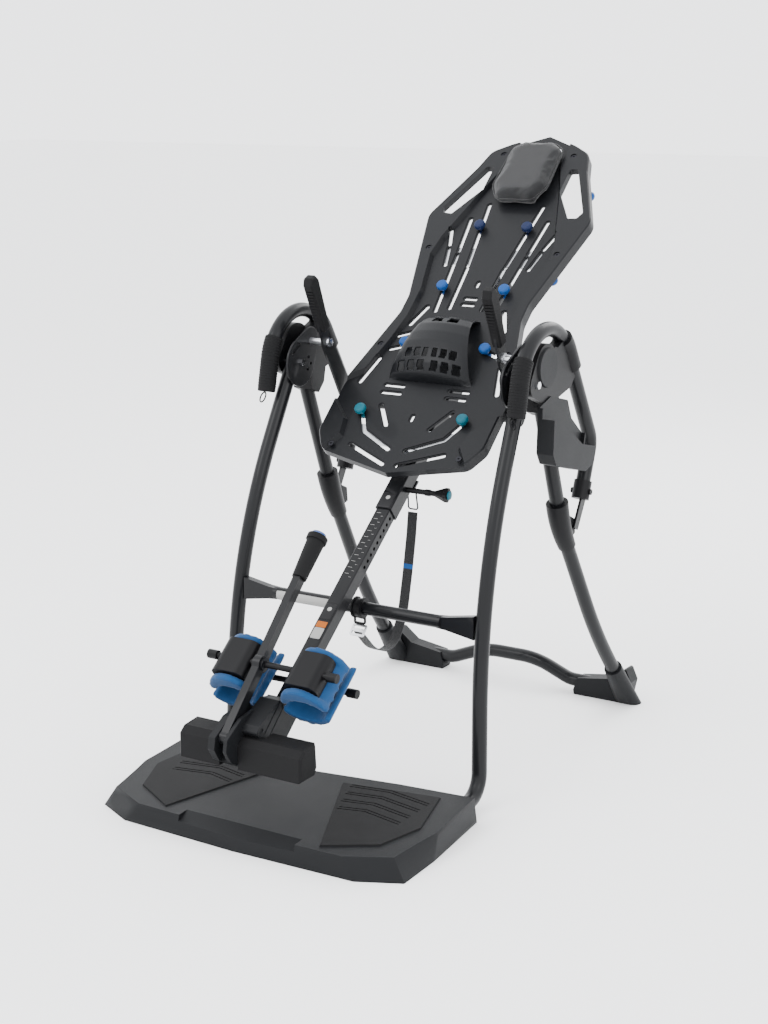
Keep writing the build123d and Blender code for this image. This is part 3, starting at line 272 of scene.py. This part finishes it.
# ---- swept details -----------------------------------------------------------------------
def tube(name, points, radius, look, body, sides=12, closed=False):
    """A round bead along points, as a mesh."""
    curve = bpy.data.curves.new(name, "CURVE")
    curve.dimensions = "3D"
    curve.bevel_depth = radius
    curve.bevel_resolution = max(2, sides // 4)
    curve.use_fill_caps = not closed
    spline = curve.splines.new("POLY")
    spline.points.add(len(points) - 1)
    for target, point in zip(spline.points, points):
        target.co = (*point, 1)
    spline.use_cyclic_u = closed
    holder = bpy.data.objects.new(name + "_curve", curve)
    bpy.context.scene.collection.objects.link(holder)
    bpy.context.view_layer.update()
    graph = bpy.context.evaluated_depsgraph_get()
    data = bpy.data.meshes.new_from_object(holder.evaluated_get(graph))
    bpy.data.objects.remove(holder)
    obj = new_piece(name, data, look, body)
    shade(obj, 50)
    return obj


def rings(name, centres, axes, radius, bead, look, body):
    """Ribs round a grip, joined into one piece."""
    bm = bmesh.new()
    for centre, axis in zip(centres, axes):
        turn = Vector((0, 0, 1)).rotation_difference(axis).to_matrix().to_4x4()
        place = Matrix.Translation(centre) @ turn
        around, about = 40, 8
        loops = []
        for i in range(around):
            angle = 2 * math.pi * i / around
            loop = []
            for j in range(about):
                tilt = 2 * math.pi * j / about
                r = radius + bead * 0.6 * math.cos(tilt)
                loop.append(bm.verts.new(place @ Vector((r * math.cos(angle), r * math.sin(angle),
                                                         bead * math.sin(tilt)))))
            loops.append(loop)
        for i in range(around):
            for j in range(about):
                bm.faces.new((loops[i][j], loops[(i + 1) % around][j],
                              loops[(i + 1) % around][(j + 1) % about], loops[i][(j + 1) % about]))
    return from_bmesh(name, bm, look, body, 60)


ARCH_CENTRE = Vector((0, 0.0375, 0.912))
ARCH_R = 0.129
ARCH_X = 0.334                          # half the distance between the two arched tubes


def arch_point(side, angle):
    """A point on the middle line of one arched tube; side is -1 or 1."""
    return Vector((ARCH_X * side, ARCH_CENTRE.y + ARCH_R * math.cos(angle),
                   ARCH_CENTRE.z + ARCH_R * math.sin(angle)))


GRIP_START = math.radians(168)          # where the arch ends and the grip's straight part begins
GRIP_LEAN = math.radians(12)
STRAIGHT_RIBS, ARCH_RIBS = 11, 7
RIB_PITCH = 0.0062
ARCH_RIB_START, ARCH_RIB_STEP = 165, 2.9    # degrees round the arch
GRIP_LENGTH = 0.079                     # from the arch to the wrist loop
LOOP_POINTS = 24

for side, word in ((-1, "left"), (1, "right")):
    centres, axes = [], []
    start = arch_point(side, GRIP_START)
    down = Vector((0, -math.sin(GRIP_LEAN), -math.cos(GRIP_LEAN)))
    for i in range(STRAIGHT_RIBS):
        centres.append(start + down * (0.004 + RIB_PITCH * i))
        axes.append(down)
    for i in range(ARCH_RIBS):
        angle = math.radians(ARCH_RIB_START - ARCH_RIB_STEP * i)
        centres.append(arch_point(side, angle))
        axes.append(Vector((0, -math.sin(angle), math.cos(angle))))
    rings(f"arch_grip_ribs_{word}", centres, axes, 0.0213, 0.0019, "black_rubber", "rear_frame")
    loop = [start + down * GRIP_LENGTH
            + Vector((side * 0.004 * math.sin(t),
                      -0.004 - 0.011 * (1 - math.cos(t)),
                      -0.012 - 0.012 * math.sin(t)))
            for t in around_once(LOOP_POINTS)]
    tube(f"grip_loop_{word}", loop, 0.0018, "black_rubber", "rear_frame", closed=True)


# ---- labels: thin plain patches without any words ----------------------------------------
def patch(name, centre, along, up, width, height, look, body, lift=0.0004, bend=0.0):
    """A thin rounded label. along and up are its axes; bend is the radius it wraps round, if any."""
    along, up = Vector(along).normalized(), Vector(up).normalized()
    out = along.cross(up)
    bm = bmesh.new()
    columns, rows = 14, 10
    corner = min(width, height) * 0.12
    grid = []
    for i in range(columns + 1):
        line = []
        for j in range(rows + 1):
            u = (i / columns - 0.5) * width
            v = (j / rows - 0.5) * height
            edge_u, edge_v = width / 2 - abs(u), height / 2 - abs(v)
            if edge_u < corner and edge_v < corner:
                shrink = corner * 0.25 * (1 - max(edge_u, edge_v) / corner)
                u -= math.copysign(shrink, u)
                v -= math.copysign(shrink, v)
            if bend:
                angle = v / bend
                point = Vector(centre) + along * u + up * bend * math.sin(angle)
                point -= out * bend * (1 - math.cos(angle))
                point += (out * math.cos(angle) + up * math.sin(angle)) * lift
            else:
                point = Vector(centre) + along * u + up * v + out * lift
            line.append(bm.verts.new(point))
        grid.append(line)
    for i in range(columns):
        for j in range(rows):
            bm.faces.new((grid[i][j], grid[i + 1][j], grid[i + 1][j + 1], grid[i][j + 1]))
    obj = from_bmesh(name, bm, look, body, 60)
    thick = obj.modifiers.new("thick", "SOLIDIFY")
    thick.thickness = 0.0003
    thick.offset = 1.0
    return obj


patch("crossbar_label", (-0.122, -0.2525, 0.410), (1, 0, 0), (0, 0, 1), 0.18, 0.022, LABEL_WHITE,
      "front_frame", bend=0.015)
patch("shaft_label_orange", shaft(0, -186, 0), SIDEWAYS, SHAFT_A, 0.026, 0.016, LABEL_ORANGE, "main_shaft")
patch("shaft_label_white", shaft(0, -210, 0), SIDEWAYS, SHAFT_A, 0.026, 0.030, LABEL_WHITE, "main_shaft")
patch("shaft_label_black", shaft(0, -150, 0), SIDEWAYS, SHAFT_A, 0.030, 0.044, LABEL_BLACK, "main_shaft")
patch("sleeve_label_black", shaft(0, 176, 3.5), SIDEWAYS, SHAFT_A, 0.034, 0.044, LABEL_BLACK, "table")


DOT_SIDES = 28


def dot(name, centre, across, up, radius, look, body, lift=0.0009):
    """A small plain disc."""
    out = Vector(across).cross(Vector(up)).normalized()
    bm = bmesh.new()
    rim = [bm.verts.new(Vector(centre) + out * lift + Vector(across) * radius * math.cos(t)
                        + Vector(up) * radius * math.sin(t))
           for t in around_once(DOT_SIDES)]
    bm.faces.new(rim)
    return from_bmesh(name, bm, look, body)


dot("shaft_dot", shaft(0, -143, 0), SIDEWAYS, SHAFT_A, 0.0055, LABEL_WHITE, "main_shaft")
dot("sleeve_dot", shaft(0, 184, 3.5), SIDEWAYS, SHAFT_A, 0.0055, LABEL_WHITE, "table")

# pale setting marks in the shaft's engraved lines
MARK_COUNT, MARK_PITCH = 11, 18
MARK_DEPTH = -0.45
bm = bmesh.new()
for i in range(MARK_COUNT):
    for x, a, wide, tall in ((-6, 140 - MARK_PITCH * i, 11, 1.0), (6, 131 - MARK_PITCH * i, 6.4, 0.8)):
        corners = [bm.verts.new(shaft(x + dx * wide / 2, a + da * tall / 2, MARK_DEPTH))
                   for dx, da in ((-1, -1), (1, -1), (1, 1), (-1, 1))]
        bm.faces.new(corners)
from_bmesh("shaft_marks", bm, LABEL_WHITE, "main_shaft")

# ---- pillow seam and piping --------------------------------------------------------------
PILLOW_EDGE = [(44, 628), (74, 604), (80, 470), (52, 422), (-52, 422), (-80, 470), (-74, 604), (-44, 628)]


def smooth_loop(points, steps=6):
    """Rounds a closed outline with short quadratic corners."""
    out = []
    count = len(points)
    for i in range(count):
        before, here, after = (Vector(points[(i + k) % count]) for k in (-1, 0, 1))
        reach_in = here + (before - here).normalized() * min(14, (before - here).length * 0.4)
        reach_out = here + (after - here).normalized() * min(14, (after - here).length * 0.4)
        for k in range(steps + 1):
            t = k / steps
            out.append((1 - t) ** 2 * reach_in + 2 * t * (1 - t) * here + t * t * reach_out)
    return out


seam_line = [bed(p.x * 0.985, (p.y - 525) * 0.985 + 525, 12) for p in smooth_loop(PILLOW_EDGE)]
tube("pillow_piping", seam_line, 0.0021, "black_fabric", "table", closed=True)


# ---- round pieces turned from a profile --------------------------------------------------
def turned(name, centre, axis, profile, look, body, around=36):
    """A turned piece: profile is (distance along the axis, radius) in millimetres."""
    turn = Vector((0, 0, 1)).rotation_difference(Vector(axis).normalized()).to_matrix().to_4x4()
    place = Matrix.Translation(centre) @ turn
    bm = bmesh.new()
    loops = []
    for along, radius in profile:
        loops.append([bm.verts.new(place @ Vector((radius / 1000 * math.cos(t), radius / 1000 * math.sin(t),
                                                   along / 1000)))
                      for t in around_once(around)])
    for first, second in zip(loops, loops[1:]):
        for k in range(around):
            bm.faces.new((first[k], first[(k + 1) % around], second[(k + 1) % around], second[k]))
    bm.faces.new(loops[0][::-1])
    bm.faces.new(loops[-1])
    return from_bmesh(name, bm, look, body, 40)


KNOB_PROFILE = [(0, 3.8), (22, 3.8), (22, 7), (25, 12), (28, 14.5),     # the stem, then the mushroom head
                (34, 14.5), (38, 12.5), (41, 8), (42, 3)]
for number, (x, s) in enumerate(((172, 212), (166, 500))):
    turned(f"spare_knob_{number}", bed(x, s, -14), -BED_H, KNOB_PROFILE, "blue_rubber", "table")
turned("selector_tip", shaft(21.5 + 113, 229, -18), SIDEWAYS, [(0, 9.5), (1.2, 11), (2.8, 10.5), (3.4, 8)],
       "teal_rubber", "selector_pin")

# ---- lumbar bridge: a thin moulded arch with windows, in place of the plainer CAD one -----
BRIDGE_PROFILE = [(-166, -12), (-165, 4), (-158, 22), (-140, 36), (-112, 46), (-84, 52),
                  (-56, 53), (-28, 50), (-4, 40), (14, 24), (28, 6), (38, -12)]
BRIDGE_WINDOWS = [(-156, -136, 9, 27), (-156, -136, 37, 56), (-156, -136, 66, 86),
                  (-126, -104, 6, 20), (-126, -104, 28, 44), (-126, -104, 52, 70),
                  (-20, 0, 8, 34)]
BRIDGE_START, BRIDGE_LENGTH = -166, 204
BRIDGE_WIDE, BRIDGE_TAPER = 116, 60     # half width at the hips and how much it loses towards the head
BRIDGE_CROWN = 260                      # radius of the arch across the bed
BRIDGE_FOOT = -11.6                     # the lowest its edges go


def bridge_height(s):
    """Height of the arch's middle line over the flanges, straight between the profile's points."""
    for (s0, h0), (s1, h1) in zip(BRIDGE_PROFILE, BRIDGE_PROFILE[1:]):
        if s <= s1:
            t = (s - s0) / (s1 - s0)
            return h0 + (h1 - h0) * t
    return BRIDGE_PROFILE[-1][1]


bm = bmesh.new()
rows, columns = 66, 60
grid = []
for i in range(rows + 1):
    s = BRIDGE_START + BRIDGE_LENGTH * i / rows
    half = BRIDGE_WIDE - BRIDGE_TAPER * (i / rows) ** 0.8
    line = []
    for j in range(columns + 1):
        x = half * (2 * j / columns - 1)
        drop = BRIDGE_CROWN - math.sqrt(BRIDGE_CROWN ** 2 - x * x)
        h = max(bridge_height(s) - drop - 26 * max(0.0, abs(x) / half - 0.86) ** 1.3, BRIDGE_FOOT)
        line.append((x, s, bm.verts.new(bed(x, s, h))))
    grid.append(line)
for i in range(rows):
    for j in range(columns):
        x = abs(grid[i][j][0] + grid[i + 1][j + 1][0]) / 2
        s = (grid[i][j][1] + grid[i + 1][j][1]) / 2
        if any(s0 < s < s1 and x0 < x < x1 for s0, s1, x0, x1 in BRIDGE_WINDOWS):
            continue
        bm.faces.new((grid[i][j][2], grid[i][j + 1][2], grid[i + 1][j + 1][2], grid[i + 1][j][2]))
loose = [v for v in bm.verts if not v.link_faces]
bmesh.ops.delete(bm, geom=loose, context="VERTS")
bridge = from_bmesh("bridge_shell", bm, "blue_grey_plastic", None, 50)
wall = bridge.modifiers.new("wall", "SOLIDIFY")
wall.thickness = 0.005
wall.offset = -1.0
edge = bridge.modifiers.new("edge", "BEVEL")
edge.width = 0.0009
edge.segments = 2
edge.limit_method = "ANGLE"
apply_modifiers(bridge)
shade(bridge, 50)
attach(bridge, "table")
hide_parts("lumbar_bridge")

# ---- tether strap: the CAD strap between the crossbar and the hook, cut into rows --------
strap_source = NODES["tether_strap"]
strap_data = strap_source.data.copy()
strap_data.transform(strap_source.matrix_world)
strap = bpy.data.objects.new("strap_webbing", strap_data)
bpy.context.scene.collection.objects.link(strap)
strap.data.materials.clear()
strap.data.materials.append(LOOKS["webbing"])
cutter = bmesh.new()
cutter.from_mesh(strap.data)
STRAP_ROWS, STRAP_LOW, STRAP_ROW = 60, 0.26, 0.0056
for k in range(STRAP_ROWS):             # more rows across the strap
    level = STRAP_LOW + k * STRAP_ROW
    bmesh.ops.bisect_plane(cutter, geom=cutter.verts[:] + cutter.edges[:] + cutter.faces[:],
                           plane_co=(0, 0, level), plane_no=(0, 0, 1))
strap.data.materials.append(MARK_BLUE)
MARK_LOW, MARK_HIGH = 0.452, 0.460      # the blue mark woven into it
for face in cutter.faces:
    if MARK_LOW < face.calc_center_median().z < MARK_HIGH:
        face.material_index = 1
cutter.to_mesh(strap.data)
cutter.free()
shade(strap, 30)
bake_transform(strap)
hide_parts("tether_strap")

# ---- floor, light and camera -------------------------------------------------------------
floor_material = material("studio_floor", (0.93, 0.93, 0.93), 0.7, vary=0.0)
bpy.ops.mesh.primitive_plane_add(size=60, location=(0, 2, -0.0005))
floor = bpy.context.object
floor.name = "studio_floor"
floor.data.materials.append(floor_material)
world = bpy.data.worlds.new("studio")
bpy.context.scene.world = world
world.use_nodes = True
world.node_tree.nodes["Background"].inputs["Color"].default_value = (0.97, 0.98, 1.0, 1)
world.node_tree.nodes["Background"].inputs["Strength"].default_value = 3.1


def lamp(name, place, target, size, power):
    """A square area lamp aimed at target."""
    light = bpy.data.lights.new(name, "AREA")
    light.shape = "SQUARE"
    light.size = size
    light.energy = power
    holder = bpy.data.objects.new(name, light)
    bpy.context.scene.collection.objects.link(holder)
    holder.location = place
    holder.rotation_euler = (Vector(target) - Vector(place)).to_track_quat("-Z", "Y").to_euler()


lamp("key", (-1.8, -3.2, 3.8), (0, 0, 0.7), 2.6, 110)
lamp("fill", (3.4, -1.6, 2.6), (0, 0, 0.6), 2.2, 40)
lamp("rim", (0.4, 3.6, 3.2), (0, 0, 0.9), 2.4, 90)

camera_data = bpy.data.cameras.new("camera")
camera_data.sensor_width = 36
camera_data.lens = 62.197734
camera = bpy.data.objects.new("camera", camera_data)
bpy.context.scene.collection.objects.link(camera)
camera.location = (2.0657, -3.5382, 1.5932)
camera.rotation_euler = (math.radians(76.1625), 0, math.radians(31.103))
bpy.context.scene.camera = camera
